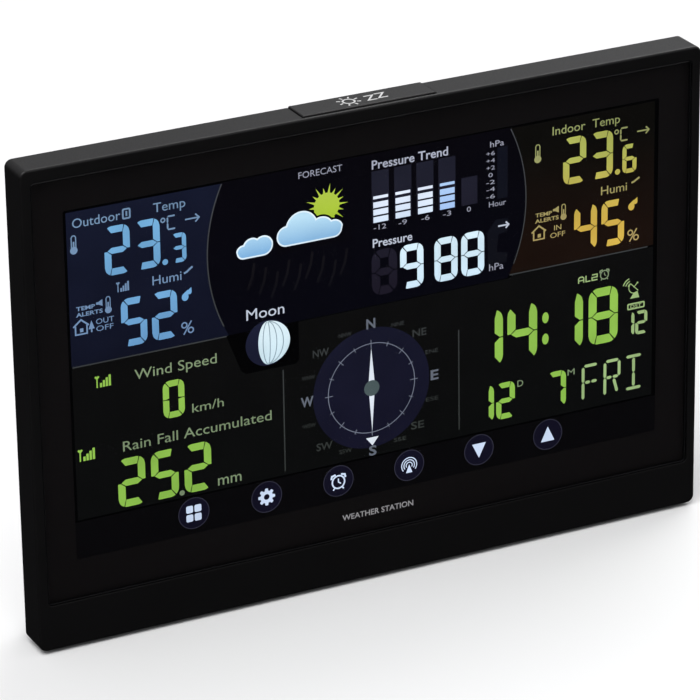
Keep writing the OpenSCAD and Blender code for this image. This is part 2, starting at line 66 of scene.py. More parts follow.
class Nodes:
    """A short way to build one material's node tree."""

    def __init__(self, name):
        self.mat = bpy.data.materials.new(name)
        self.mat.use_nodes = True
        self.tree = self.mat.node_tree
        self.shader = self.tree.nodes["Principled BSDF"]
        self.where = self.tree.nodes.new("ShaderNodeTexCoord").outputs["Object"]

    def add(self, kind, **values):
        node = self.tree.nodes.new(kind)
        for key, value in values.items():
            setattr(node, key, value)
        return node

    def link(self, a, b):
        self.tree.links.new(a, b)

    def set(self, **values):
        for key, value in values.items():
            self.shader.inputs[key.replace("_", " ")].default_value = value

    def noise(self, scale, detail=3, stretch=(1, 1, 1)):
        mapping = self.add("ShaderNodeMapping")
        mapping.inputs["Scale"].default_value = stretch
        self.link(self.where, mapping.inputs["Vector"])
        tex = self.add("ShaderNodeTexNoise")
        tex.inputs["Scale"].default_value = scale
        tex.inputs["Detail"].default_value = detail
        self.link(mapping.outputs[0], tex.inputs["Vector"])
        return tex.outputs["Fac"]

    def mix(self, factor, a, b):
        """Colour a to colour b by factor. a and b are colours or sockets."""
        node = self.add("ShaderNodeMix", data_type="RGBA")
        for socket, value in ((node.inputs[0], factor), (node.inputs[6], a), (node.inputs[7], b)):
            if isinstance(value, bpy.types.NodeSocket):
                self.link(value, socket)
            else:
                socket.default_value = value
        return node.outputs[2]

    def ranged(self, value, low, high, start=0.3, end=0.7):
        node = self.add("ShaderNodeMapRange")
        node.inputs["From Min"].default_value = start
        node.inputs["From Max"].default_value = end
        node.inputs["To Min"].default_value = low
        node.inputs["To Max"].default_value = high
        self.link(value, node.inputs["Value"])
        return node.outputs["Result"]

    def math(self, operation, a, b=0.0):
        node = self.add("ShaderNodeMath", operation=operation)
        for socket, value in ((node.inputs[0], a), (node.inputs[1], b)):
            if isinstance(value, bpy.types.NodeSocket):
                self.link(value, socket)
            else:
                socket.default_value = value
        return node.outputs[0]

    def axis(self, index, socket=None):
        node = self.add("ShaderNodeSeparateXYZ")
        self.link(socket or self.where, node.inputs[0])
        return node.outputs[index]

    def bump(self, height, strength, distance, soft_edge=0.0):
        node = self.add("ShaderNodeBump")
        node.inputs["Strength"].default_value = strength
        node.inputs["Distance"].default_value = distance
        self.link(height, node.inputs["Height"])
        if soft_edge:
            edge = self.add("ShaderNodeBevel", samples=4)
            edge.inputs["Radius"].default_value = soft_edge
            self.link(edge.outputs[0], node.inputs["Normal"])
        self.link(node.outputs[0], self.shader.inputs["Normal"])


def surface(name, rgb, rough, spread=0.12, rough_spread=0.06, patches=120, grain=2500,
            depth=0.02 * MM, strength=0.4, stretch=(1, 1, 1), soft_edge=0.0, **values):
    """A solid material: broad colour and gloss variation, and a fine grain in relief."""
    m = Nodes(name)
    base = linear(rgb)
    broad = m.noise(patches)
    fine = m.noise(grain, 2, stretch)
    colour = m.mix(m.ranged(broad, 0, 1), scaled(base, 1 - spread), scaled(base, 1 + spread))
    speckle = m.mix(m.ranged(fine, 0, 1), scaled(base, 1 - spread), colour)
    m.link(speckle, m.shader.inputs["Base Color"])
    m.link(m.ranged(fine, rough - rough_spread, rough + rough_spread), m.shader.inputs["Roughness"])
    m.bump(fine, strength, depth, soft_edge)
    m.set(**values)
    return m.mat


LENS_CLEAR = 0.70      # share of light that one face of the lens lets through
GLOW_BASE = (3, 3, 4)  # colour of a display segment without its light


def glow(name, top, bottom=None, v_top=0, v_bottom=88, faces=2, uneven=0.10):
    """Light from the display, as seen through that many faces of the lens."""
    m = Nodes(name)
    bottom = bottom or top
    z_top = LIT.z - v_top * MM
    z_bottom = LIT.z - v_bottom * MM
    down = m.ranged(m.axis(2), 1, 0, z_bottom, z_top)
    shade = m.mix(down, linear(top), linear(bottom))
    patchy = m.ranged(m.noise(90, 1), 0, 1)
    low, high = 1 - uneven, 1 + uneven
    light = m.mix(patchy, (low, low, low, 1), (high, high, high, 1))
    product = m.add("ShaderNodeMix", data_type="RGBA", blend_type="MULTIPLY")
    product.inputs[0].default_value = 1
    m.link(shade, product.inputs[6])
    m.link(light, product.inputs[7])
    m.link(product.outputs[2], m.shader.inputs["Emission Color"])
    base = linear(GLOW_BASE)
    m.link(m.mix(patchy, base, scaled(base, 0.7)), m.shader.inputs["Base Color"])
    m.set(Emission_Strength=1 / LENS_CLEAR ** faces, Roughness=0.6, Specular_IOR_Level=0.1)
    m.mat.cycles.emission_sampling = "NONE"
    return m.mat


# Places in the model. The front is towards -Y.
lens_low, lens_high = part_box("display_lens")
LENS_FRONT, LENS_BACK = lens_low.y, lens_high.y
LCD_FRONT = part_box("lcd_panel")[0].y
VIEW_W, VIEW_H = 175.2, 87.5     # the lit area
VIEW_DROP = 10                   # from the top of the lens down to it
STRIP_H = 10.6                   # the strip of touch keys under it
LIT = Vector((-VIEW_W / 2 * MM, 0, lens_high.z - VIEW_DROP * MM))


# ---------------------------------------------------------------- drawing


class Drawing:
    """Thin closed plates in one plane, gathered into one piece."""

    def __init__(self, name, material, y, thick=0.03, at=None, body="console", slot=None):
        self.name, self.material, self.body, self.slot = name, material, body, slot
        self.y, self.thick = y, thick
        self.at = at or self.on_front
        self.bm = bmesh.new()

    def on_front(self, u, v, d):
        return Vector((LIT.x + u * MM, self.y + d * MM, LIT.z - v * MM))

    def plate(self, points):
        """A plate with this outline."""
        n = len(points)
        front = [self.bm.verts.new(self.at(u, v, 0)) for u, v in points]
        back = [self.bm.verts.new(self.at(u, v, self.thick)) for u, v in points]
        self.bm.faces.new(front)
        self.bm.faces.new(back[::-1])
        for i in range(n):
            j = (i + 1) % n
            self.bm.faces.new((front[i], back[i], back[j], front[j]))

    def band(self, outer, inner):
        """A closed plate between two outlines with as many points."""
        n = len(outer)
        rows = [[self.bm.verts.new(self.at(u, v, d)) for u, v in line]
                for line, d in ((outer, 0), (inner, 0), (inner, self.thick), (outer, self.thick))]
        for i in range(n):
            j = (i + 1) % n
            for k in range(4):
                a, b = rows[k], rows[(k + 1) % 4]
                self.bm.faces.new((a[i], b[i], b[j], a[j]))

    def rect(self, u0, v0, u1, v1):
        self.plate([(u0, v0), (u1, v0), (u1, v1), (u0, v1)])

    def disc(self, u, v, r, n=40):
        self.plate(circle(u, v, r, r, n))

    def ring(self, u, v, r, width, n=64):
        outer, inner = r + width / 2, r - width / 2
        self.band(circle(u, v, outer, outer, n), circle(u, v, inner, inner, n))

    def line(self, points, width, closed=False):
        """A line of that width with mitred corners."""
        n = len(points)
        left, right = [], []
        for i, p in enumerate(points):
            before = points[i - 1] if i or closed else p
            after = points[(i + 1) % n] if i < n - 1 or closed else p
            a = unit(before, p) if before != p else unit(p, after)
            b = unit(p, after) if after != p else a
            nu, nv = -(a[1] + b[1]), a[0] + b[0]
            size = math.hypot(nu, nv) or 1
            nu, nv = nu / size, nv / size
            reach = width / 2 / max(MITRE_LIMIT, -nu * a[1] + nv * a[0])
            left.append((p[0] + nu * reach, p[1] + nv * reach))
            right.append((p[0] - nu * reach, p[1] - nv * reach))
        if closed:
            self.band(left, right)
        else:
            self.plate(left + right[::-1])

    def rod(self, u0, v0, u1, v1, t):
        """A segment with pointed ends."""
        du, dv = unit((u0, v0), (u1, v1))
        h = t / 2
        self.plate([
            (u0, v0),
            (u0 + (du - dv) * h, v0 + (dv + du) * h),
            (u1 - (du + dv) * h, v1 - (dv - du) * h),
            (u1, v1),
            (u1 - (du - dv) * h, v1 - (dv + du) * h),
            (u0 + (du + dv) * h, v0 + (dv - du) * h)])

    def digit(self, char, u0, v0, w, h, t):
        """One digit of seven segments, with round outer corners."""
        r, e, mid = 1.2 * t, 0.065 * t, h / 2

        def curve(x):
            return r - math.sqrt(max(0.0, r * r - (r - x) ** 2))

        def bar(cut_a, cut_b):
            xs = [cut_a * t + e + (r - cut_a * t - e) * i / 5 for i in range(6)]
            ys = [cut_b * t + e + (r - cut_b * t - e) * i / 5 for i in range(5, -1, -1)]
            left = [(x, curve(x)) for x in xs]
            right = [(w - x, curve(x)) for x in ys]
            return left + right + [(w - t - e, t), (t + e, t)]

        notch = 0.1 if char == "0" else 0.5

        def post(cut):
            xs = [(cut * t - e) * i / 6 for i in range(7)]
            return [(0, mid - e)] + [(x, curve(x)) for x in xs] + [
                (t, t + e), (t, mid - notch * t - e), (0.4 * t, mid - e)]

        middle = [(0.4 * t + e, mid), (t + e, mid - t / 2 + e), (w - t - e, mid - t / 2 + e),
                  (w - 0.4 * t - e, mid), (w - t - e, mid + t / 2 - e), (t + e, mid + t / 2 - e)]
        shapes = {
            "a": bar(0.45, 0.8),
            "b": [(w - x, y) for x, y in post(0.8)],
            "c": [(w - x, h - y) for x, y in post(0.45)],
            "d": [(w - x, h - y) for x, y in bar(0.45, 0.8)],
            "e": [(x, h - y) for x, y in post(0.8)],
            "f": post(0.45),
            "g": middle,
        }
        for key in SEGMENTS[char]:
            self.plate([(u0 + x, v0 + y) for x, y in shapes[key]])

    def words(self, text, u0, u1, base, cap, weight=0.0):
        """Text from u0 to u1 on the line v = base, with capitals cap high."""
        font = bpy.data.curves.new("words", "FONT")
        font.body = text
        font.size = 1
        font.offset = weight
        font.resolution_u = 3
        font.extrude = 0.5
        holder = bpy.data.objects.new("words", font)
        scene.collection.objects.link(holder)
        bpy.context.view_layer.update()
        shaped = holder.evaluated_get(bpy.context.evaluated_depsgraph_get())
        mesh = bpy.data.meshes.new_from_object(shaped)
        xs = [v.co.x for v in mesh.vertices]
        low, wide = min(xs), max(xs) - min(xs)
        tall = cap / CAP_HEIGHT
        for v in mesh.vertices:
            u = u0 + (v.co.x - low) / wide * (u1 - u0)
            v.co = self.at(u, base - v.co.y * tall, (0.5 - v.co.z) * self.thick)
        self.bm.from_mesh(mesh)
        bpy.data.objects.remove(holder)
        bpy.data.meshes.remove(mesh)
        bpy.data.curves.remove(font)

    def finish(self):
        bmesh.ops.remove_doubles(self.bm, verts=self.bm.verts, dist=1e-7)
        bmesh.ops.recalc_face_normals(self.bm, faces=self.bm.faces)
        mesh = bpy.data.meshes.new(self.name)
        self.bm.to_mesh(mesh)
        self.bm.free()
        mesh.materials.append(self.material)
        obj = bpy.data.objects.new(self.name, mesh)
        scene.collection.objects.link(obj)
        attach(obj, self.body)


SEGMENTS = {"0": "abcdef", "1": "bc", "2": "abdeg", "3": "abcdg", "4": "bcfg", "5": "acdfg",
            "6": "acdefg", "7": "abc", "8": "abcdefg", "9": "abcdfg"}
CAP_HEIGHT = 0.73      # of the built-in font at size 1
MITRE_LIMIT = 0.35     # keeps the corner of a sharp bend short
CORNER_POINTS = 6      # on each round corner of a box
CLOUD_STEPS = 180


def unit(p, q):
    du, dv = q[0] - p[0], q[1] - p[1]
    size = math.hypot(du, dv) or 1
    return du / size, dv / size


def circle(u, v, ru, rv, n=40, start=0.0, sweep=360.0):
    """Points round an ellipse. Part of one includes both ends."""
    steps = n if sweep == 360 else n - 1
    return [(u + ru * math.cos(math.radians(start + sweep * i / steps)),
             v + rv * math.sin(math.radians(start + sweep * i / steps))) for i in range(n)]


def round_box(u0, v0, u1, v1, r):
    points = []
    for cu, cv, start in ((u1 - r, v1 - r, 0), (u0 + r, v1 - r, 90),
                          (u0 + r, v0 + r, 180), (u1 - r, v0 + r, 270)):
        points += circle(cu, cv, r, r, CORNER_POINTS, start, 90)
    return points


# ---------------------------------------------------------------- small pictures


def thermometer(d, u, v, h):
    """Bulb and tube, h high, with its top at v."""
    d.line([(u - 0.12 * h, v + 0.68 * h), (u - 0.12 * h, v + 0.12 * h),
            (u - 0.06 * h, v + 0.03 * h), (u + 0.06 * h, v + 0.03 * h),
            (u + 0.12 * h, v + 0.12 * h), (u + 0.12 * h, v + 0.68 * h)], 0.055 * h)
    d.disc(u, v + 0.81 * h, 0.2 * h)
    d.rect(u - 0.045 * h, v + 0.34 * h, u + 0.045 * h, v + 0.7 * h)


def arrow(d, u0, u1, v, head, t):
    d.rect(u0, v - t / 2, u1 - t, v + t / 2)
    d.line([(u1 - head, v - head), (u1, v), (u1 - head, v + head)], t)


def swoosh(d, u0, v0, u1, v1):
    """A short rising wave, for a slow trend."""
    du, dv = u1 - u0, v1 - v0
    d.line([(u0, v0), (u0 + 0.35 * du, v0 + 0.22 * dv),
            (u0 + 0.65 * du, v0 + 0.62 * dv), (u1, v1)], 0.55)


def signal(d, u, v, w, h):
    """Mast and four rising bars."""
    d.line([(u, v), (u + 0.12 * w, v + 0.18 * h), (u + 0.24 * w, v)], 0.12 * w)
    d.rect(u + 0.08 * w, v, u + 0.16 * w, v + h)
    for i in range(4):
        left = u + (0.3 + 0.19 * i) * w
        d.rect(left, v + (0.62 - 0.2 * i) * h, left + 0.14 * w, v + h)


def horn(d, u, v, w, h):
    d.plate([(u, v + 0.35 * h), (u + 0.4 * w, v + 0.3 * h), (u + w, v), (u + w, v + h),
             (u + 0.4 * w, v + 0.7 * h), (u, v + 0.65 * h)])


def house(d, u, v, w, h):
    d.line([(u - 0.12 * w, v + 0.45 * h), (u + 0.5 * w, v), (u + 1.1 * w, v + 0.45 * h)], 0.45)
    d.line([(u + 0.05 * w, v + 0.4 * h), (u + 0.05 * w, v + h), (u + 0.95 * w, v + h),
            (u + 0.95 * w, v + 0.4 * h)], 0.4)
    d.rect(u + 0.4 * w, v + 0.6 * h, u + 0.66 * w, v + 0.86 * h)


def tree(d, u, v, h):
    d.plate([(u, v), (u + 0.26 * h, v + 0.72 * h), (u - 0.26 * h, v + 0.72 * h)])
    d.rect(u - 0.06 * h, v + 0.7 * h, u + 0.06 * h, v + h)


def drop(d, u, v, w, h):
    """A leaning drop with a smaller one beside it."""
    for cu, cv, r in ((u + 0.35 * w, v + 0.68 * h, 0.32 * w), (u + 0.78 * w, v + 0.34 * h, 0.2 * w)):
        d.plate(circle(cu, cv, r, r * 1.15, 20, -10, 250) + [(cu + 0.9 * r, cv - 2.0 * r)])


def percent(d, u, v, w, h):
    d.ring(u + 0.26 * w, v + 0.27 * h, 0.19 * w, 0.1 * w, 24)
    d.ring(u + 0.74 * w, v + 0.73 * h, 0.19 * w, 0.1 * w, 24)
    d.line([(u + 0.8 * w, v), (u + 0.2 * w, v + h)], 0.1 * w)


def degrees_c(d, u, v):
    """Degree ring and a C of straight segments."""
    d.ring(u + 0.7, v + 0.9, 0.55, 0.35, 24)
    d.rod(u + 2.0, v + 0.1, u + 4.2, v + 0.1, 0.45)
    d.rod(u + 2.0, v + 0.3, u + 2.0, v + 1.9, 0.45)
    d.rod(u + 2.0, v + 1.9, u + 2.0, v + 3.6, 0.45)
    d.rod(u + 2.0, v + 3.7, u + 4.2, v + 3.7, 0.45)


def alarm_clock(d, u, v, r, t):
    d.ring(u, v, r, t, 40)
    d.line([(u, v - 0.55 * r), (u, v), (u + 0.4 * r, v + 0.3 * r)], 0.8 * t)
    for s in (-1, 1):
        a, b = (u + s * 1.15 * r, v - 0.55 * r), (u + s * 0.45 * r, v - 1.2 * r)
        d.line([a, (u + s * 1.05 * r, v - 1.05 * r), b], 1.25 * t)
        d.line([(u + s * 0.6 * r, v + 0.85 * r), (u + s * 0.85 * r, v + 1.2 * r)], t)


def gear(d, u, v, r):
    """Eight teeth round a ring."""
    outer, inner = [], []
    for i in range(8):
        middle = 45 * i
        for offset, k in ((-15, 0.76), (-10, 1.0), (0, 1.02), (10, 1.0), (15, 0.76), (22.5, 0.74)):
            a = math.radians(middle + offset)
            outer.append((u + k * r * math.cos(a), v + k * r * math.sin(a)))
            inner.append((u + 0.34 * r * math.cos(a), v + 0.34 * r * math.sin(a)))
    d.band(outer, inner)


def waves(d, u, v, r):
    """Rings round a small mast, open below."""
    for k in (0.4, 0.7, 1.0):
        d.line(circle(u, v, k * r, k * r, 24, 150 - 8 * k, 240 + 16 * k), 0.11 * r)
    d.plate([(u, v - 0.12 * r), (u + 0.42 * r, v + 0.95 * r), (u - 0.42 * r, v + 0.95 * r)])


def dish(d, u, v, s):
    """A receiving dish on a stand, with waves coming in."""
    d.line(circle(u + 0.2 * s, v - 0.2 * s, s, s, 16, 60, 165), 0.14 * s)
    d.line([(u - 0.48 * s, v - 0.95 * s), (u + 0.95 * s, v + 0.5 * s)], 0.14 * s)
    d.line([(u + 0.1 * s, v - 0.2 * s), (u + 0.75 * s, v - 0.85 * s)], 0.14 * s)
    d.disc(u + 0.8 * s, v - 0.9 * s, 0.16 * s, 16)
    d.plate([(u + 0.15 * s, v + 0.75 * s), (u + 0.8 * s, v + 0.55 * s),
             (u + 1.15 * s, v + 1.7 * s), (u - 0.55 * s, v + 1.7 * s)])


def cloud(lobes, floor, grow=0.0):
    """Outline over round lobes (u, v, r) from left to right, closed by a flat floor."""
    points = []
    first, last = lobes[0], lobes[-1]
    wide = last[0] + last[2] - first[0] + first[2] + 2 * grow
    for i in range(CLOUD_STEPS + 1):
        u = first[0] - first[2] - grow + wide * i / CLOUD_STEPS
        tops = [v - math.sqrt(max(0, (r + grow) ** 2 - (u - c) ** 2))
                for c, v, r in lobes if abs(u - c) <= r + grow]
        if tops:
            points.append((u, min(tops)))
    low = floor + grow
    r1, r0 = low - last[1], low - first[1]
    points += [(last[0] + min(r1, last[2] + grow) * math.sin(math.radians(90 - a)),
                last[1] + r1 * math.sin(math.radians(a))) for a in range(6, 91, 12)]
    points += [(first[0] - min(r0, first[2] + grow) * math.sin(math.radians(a)),
                first[1] + r0 * math.cos(math.radians(a))) for a in range(6, 85, 12)]
    return points


# ---------------------------------------------------------------- the display

PANEL_Y = LCD_FRONT - 0.045 * MM     # lit backgrounds, just in front of the display
GHOST_Y = LCD_FRONT - 0.085 * MM     # unlit segments
LIT_Y = LCD_FRONT - 0.125 * MM       # lit segments
OVER_Y = LCD_FRONT - 0.165 * MM      # lit details on lit segments
TOP_Y = LCD_FRONT - 0.205 * MM       # the compass hub, over its needle

ARC_U, ARC_V, ARC_R = 87.3, 21.0, 47.3
ARC_POINTS = 24


def arc(side, v0, v1):
    """The big circle that borders the middle panel, from v0 to v1."""
    out = []
    for i in range(ARC_POINTS):
        v = v0 + (v1 - v0) * i / (ARC_POINTS - 1)
        out.append((ARC_U + side * math.sqrt(ARC_R * ARC_R - (v - ARC_V) ** 2), v))
    return out


def draw_panels():
    outdoor = Drawing("glow_outdoor", glow("outdoor_back", (19, 23, 41), (15, 18, 34), 0, 44), PANEL_Y)
    outdoor.plate([(0.6, 0.5)] + arc(-1, 0.5, 43.4) + [(0.6, 43.4)])
    outdoor.finish()
    indoor = Drawing("glow_indoor", glow("indoor_back", (10, 9, 7), (24, 14, 9), 8, 36), PANEL_Y)
    indoor.plate(arc(1, 0.5, 42.4) + [(174.4, 42.4), (174.4, 0.5)])
    indoor.finish()
    middle = Drawing("glow_middle", glow("middle_back", (5, 4, 9), (4, 4, 12), 0, 44), PANEL_Y)
    middle.plate(arc(-1, 0.2, 43.4) + arc(1, 0.2, 43.4)[::-1])
    middle.finish()
    lower = Drawing("glow_lower", glow("lower_back", (10, 10, 10), (8, 9, 9), 44, 88), PANEL_Y)
    lower.plate([(0.6, 43.9), (45.0, 43.9), (49.0, 54.5), (50.5, 55.5), (65.0, 55.5), (66.0, 54.5),
                 (66.0, 43.6), (130.2, 43.6), (130.2, 43.0), (174.4, 43.0), (174.4, 87.2), (0.6, 87.2)])
    lower.finish()
    lines = Drawing("panel_lines", glow("line_light", (62, 64, 68), (50, 54, 52), 0, 88), LIT_Y)
    lines.line(arc(-1, 0.6, 40.6), 0.35)
    lines.line(arc(1, 0.6, 39.6), 0.3)
    lines.rect(0.8, 43.4, 45.0, 43.75)
    lines.rect(129.6, 42.45, 172.6, 42.8)
    lines.rect(61.0, 56.5, 61.35, 86.1)
    lines.rect(113.75, 55.6, 114.1, 85.1)
    lines.finish()


def draw_outdoor():
    d = Drawing("outdoor_digits", glow("outdoor_light", (113, 170, 214), (108, 160, 208), 6, 41), LIT_Y)
    for char, u in (("2", 11.0), ("3", 19.5)):
        d.digit(char, u, 6.4, 7.2, 13.6, 1.9)
    for char, u in (("5", 15.0), ("2", 23.7)):
        d.digit(char, u, 27.2, 7.3, 13.5, 1.9)
    d.digit("3", 29.9, 11.8, 4.2, 8.2, 1.2)
    d.disc(28.0, 19.2, 0.8)
    drop(d, 32.3, 27.6, 3.0, 3.6)
    d.finish()
    d = Drawing("outdoor_words", glow("outdoor_text", (114, 142, 172), (112, 140, 178), 0, 41), LIT_Y)
    d.words("Outdoor", 2.3, 15.8, 5.0, 2.7)
    d.words("Temp", 25.1, 34.2, 4.9, 2.7)
    d.words("Humi", 24.2, 32.5, 25.0, 2.7)
    d.words("TEMP", 2.5, 7.8, 28.0, 1.15, 0.02)
    d.words("ALERTS", 2.4, 9.9, 29.7, 1.15, 0.02)
    d.words("OUT", 7.9, 13.0, 32.7, 1.55)
    d.words("OFF", 7.9, 12.8, 34.7, 1.55)
    d.band(round_box(16.3, 2.2, 18.7, 5.2, 0.5), round_box(16.75, 2.65, 18.25, 4.75, 0.2))
    d.rect(17.3, 3.0, 17.75, 4.4)
    degrees_c(d, 27.0, 6.6)
    arrow(d, 34.0, 38.0, 8.5, 1.1, 0.4)
    swoosh(d, 33.2, 23.4, 35.7, 21.9)
    signal(d, 14.0, 22.3, 3.5, 2.7)
    horn(d, 8.1, 26.0, 1.8, 1.9)
    house(d, 1.9, 30.6, 3.6, 4.0)
    tree(d, 6.6, 31.3, 3.3)
    percent(d, 31.9, 37.0, 3.8, 3.6)
    thermometer(d, 2.5, 6.9, 5.2)
    thermometer(d, 11.5, 25.5, 4.7)
    d.finish()


def draw_indoor():
    light = glow("indoor_light", (170, 176, 88), (208, 174, 76), 12, 32)
    d = Drawing("indoor_digits", light, LIT_Y)
    for char, u in (("2", 146.0), ("3", 154.3)):
        d.digit(char, u, 6.3, 7.1, 13.5, 1.9)
    for char, u in (("4", 149.5), ("5", 158.0)):
        d.digit(char, u, 26.8, 7.1, 13.3, 1.9)
    d.digit("6", 164.4, 11.5, 4.4, 8.3, 1.25)
    d.disc(162.9, 18.9, 0.8)
    drop(d, 166.3, 27.4, 3.0, 3.6)
    d.finish()
    d = Drawing("indoor_words", glow("indoor_text", (142, 150, 98), (170, 148, 96), 4, 40), LIT_Y)
    d.words("Indoor", 142.7, 152.8, 4.8, 2.6)
    d.words("Temp", 155.0, 163.5, 4.8, 2.6)
    d.words("Humi", 157.8, 165.9, 24.8, 2.6)
    d.words("TEMP", 137.5, 142.6, 27.5, 1.15, 0.02)
    d.words("ALERTS", 137.4, 144.7, 29.2, 1.15, 0.02)
    d.words("IN", 143.3, 145.5, 32.3, 1.55)
    d.words("OFF", 142.1, 146.7, 34.4, 1.55)
    degrees_c(d, 161.8, 6.4)
    arrow(d, 168.9, 172.6, 8.3, 1.0, 0.4)
    swoosh(d, 167.3, 22.9, 169.8, 21.7)
    horn(d, 142.9, 25.4, 1.8, 1.9)
    house(d, 136.8, 30.1, 3.6, 3.9)
    percent(d, 166.1, 36.5, 3.8, 3.6)
    thermometer(d, 138.2, 6.5, 5.3)
    thermometer(d, 146.2, 25.1, 4.6)
    d.finish()


def draw_forecast():
    big = [(63.0, 18.7, 2.9), (67.4, 17.1, 4.7), (73.2, 18.6, 3.6), (76.9, 19.2, 2.7)]
    small = [(50.4, 20.9, 2.1), (52.9, 19.9, 2.7), (56.2, 20.0, 2.85)]
    rim = Drawing("cloud_rims", glow("cloud_rim", (226, 243, 255)), LIT_Y)
    pale = glow("cloud_light", (188, 226, 247), (128, 178, 222), 14, 22, uneven=0.05)
    fill = Drawing("cloud_fills", pale, OVER_Y)
    for lobes, floor in ((big, 21.6), (small, 22.8)):
        rim.plate(cloud(lobes, floor))
        fill.plate(cloud(lobes, floor, -0.42))
    rim.finish()
    fill.finish()
    sun = Drawing("sun", glow("sun_light", (182, 205, 78), (160, 188, 52), 7, 16), GHOST_Y)
    cu, cv = 74.9, 12.4
    outline = []
    for i in range(72):
        a = math.radians(5 * i)
        r = 3.75
        if i % 4 == 0:
            r = 6.3 if i % 8 == 0 else 5.3
        outline.append((cu + r * math.cos(a), cv + r * math.sin(a)))
    sun.plate(outline)
    sun.finish()
    gap = Drawing("sun_gap", glow("sun_gap_dark", (5, 4, 9)), GHOST_Y - 0.035 * MM)
    gap.plate(cloud(big, 21.6, 0.55))
    gap.rect(60.0, 19.0, 82.0, 23.4)
    gap.finish()
    rain = Drawing("rain_unlit", glow("rain_dark", (19, 17, 21), (12, 12, 18), 23, 36), GHOST_Y)
    for i in range(9):
        u = 52.0 + 3.4 * i
        v = 24.5 + (i * 37 % 5) * 0.9
        rain.line([(u + 1.5, v), (u + 0.9, v + 3.6), (u - 0.6, v + 7.2)], 0.75)
    rain.finish()


def draw_moon():
    cu, cv, r = 56.9, 47.8, 6.5
    dark = Drawing("moon_dark", glow("moon_unlit", (29, 32, 54), (24, 26, 46), 41, 54), GHOST_Y)
    dark.disc(cu, cv, r, 64)
    dark.finish()
    lit = Drawing("moon_lit", glow("moon_light", (222, 240, 248), (206, 232, 244), 41, 54), LIT_Y)
    limb = circle(cu, cv, r, r * 0.95, 40, -90, 180)
    edge = circle(cu, cv, 2.8, r * 0.95, 40, 90, 180)
    lit.plate(limb + edge[1:-1])
    lit.finish()
    lines = Drawing("moon_lines", glow("moon_line", (128, 148, 160)), OVER_Y)
    for k in (-0.22, 0.1, 0.4, 0.7):
        lines.line([(cu + k * r * math.cos(math.radians(a)), cv + r * 0.93 * math.sin(math.radians(a)))
                    for a in range(-84, 85, 8)], 0.22)
    lines.finish()


def draw_pressure():
    dark = Drawing("pressure_unlit", glow("pressure_dark", (30, 31, 44), (27, 24, 36), 5, 40), GHOST_Y)
    for u in (88.2, 94.9, 101.5, 108.1):
        dark.rect(u, 5.2, u + 5.1, 19.95)
    dark.rect(115.0, 12.0, 119.8, 19.95)
    dark.digit("8", 87.9, 27.7, 7.6, 13.0, 2.5)
    dark.finish()
    faint = Drawing("scale_unlit", glow("scale_dark", (15, 17, 28), (14, 15, 22), 5, 40), GHOST_Y)
    faint.rect(125.9, 5.2, 129.0, 19.9)
    faint.plate([(122.8, 29.0), (125.4, 25.8), (129.2, 26.0), (129.0, 29.6), (126.2, 30.2),
                 (125.6, 35.2), (129.0, 36.0), (128.6, 38.6), (123.0, 39.2)])
    faint.finish()
    white = Drawing("pressure_bars", glow("bar_light", (226, 234, 252), (214, 230, 250), 12, 20), LIT_Y)
    tint = glow("bar_light_blue", (170, 200, 240), (160, 190, 236), 12, 20)
    blue = Drawing("pressure_bar_blue", tint, LIT_Y)
    for u, group in ((88.6, white), (95.2, white), (101.9, white), (108.5, blue)):
        group.rect(u, 12.3, u + 4.4, 13.1)
        for v in (14.0, 16.1, 18.2):
            group.rect(u, v, u + 4.4, v + 1.6)
    white.finish()
    blue.finish()
    light = glow("pressure_light", (217, 240, 252), (206, 232, 250), 27, 41)
    digits = Drawing("pressure_digits", light, LIT_Y)
    for char, u in (("9", 96.4), ("8", 106.7), ("8", 114.8)):
        digits.digit(char, u, 27.9, 7.0, 12.6, 1.9)
    digits.finish()


def draw_white_words():
    d = Drawing("white_words", glow("white_text", (172, 176, 194), (192, 200, 216), 0, 42), LIT_Y)
    d.words("Pressure Trend", 88.3, 111.0, 4.6, 2.6, 0.012)
    d.words("Pressure", 88.3, 100.1, 26.8, 2.5, 0.012)
    d.words("Moon", 50.8, 61.9, 40.3, 3.2)
    arrow(d, 126.1, 129.3, 27.8, 0.9, 0.45)
    d.finish()
    d = Drawing("small_words", glow("small_text", (150, 152, 168)), LIT_Y)
    d.words("FORECAST", 66.8, 79.6, 3.3, 1.9)
    for text, u in (("-12", 90.5), ("-9", 97.3), ("-6", 104.1), ("-3", 110.6), ("0", 117.2)):
        half = 0.62 * len(text)
        d.words(text, u - half, u + half, 21.9, 1.5)
    for i, text in enumerate(("+6", "+4", "+2", "0", "-2", "-4", "-6")):
        half = 0.65 * len(text)
        d.words(text, 123.8 - half, 123.8 + half, 7.1 + 2.05 * i, 1.25)
    d.words("hPa", 123.7, 127.9, 4.8, 1.8)
    d.words("Hour", 123.3, 128.5, 21.9, 1.7)
    d.words("hPa", 123.3, 127.7, 40.3, 2.1)
    d.finish()


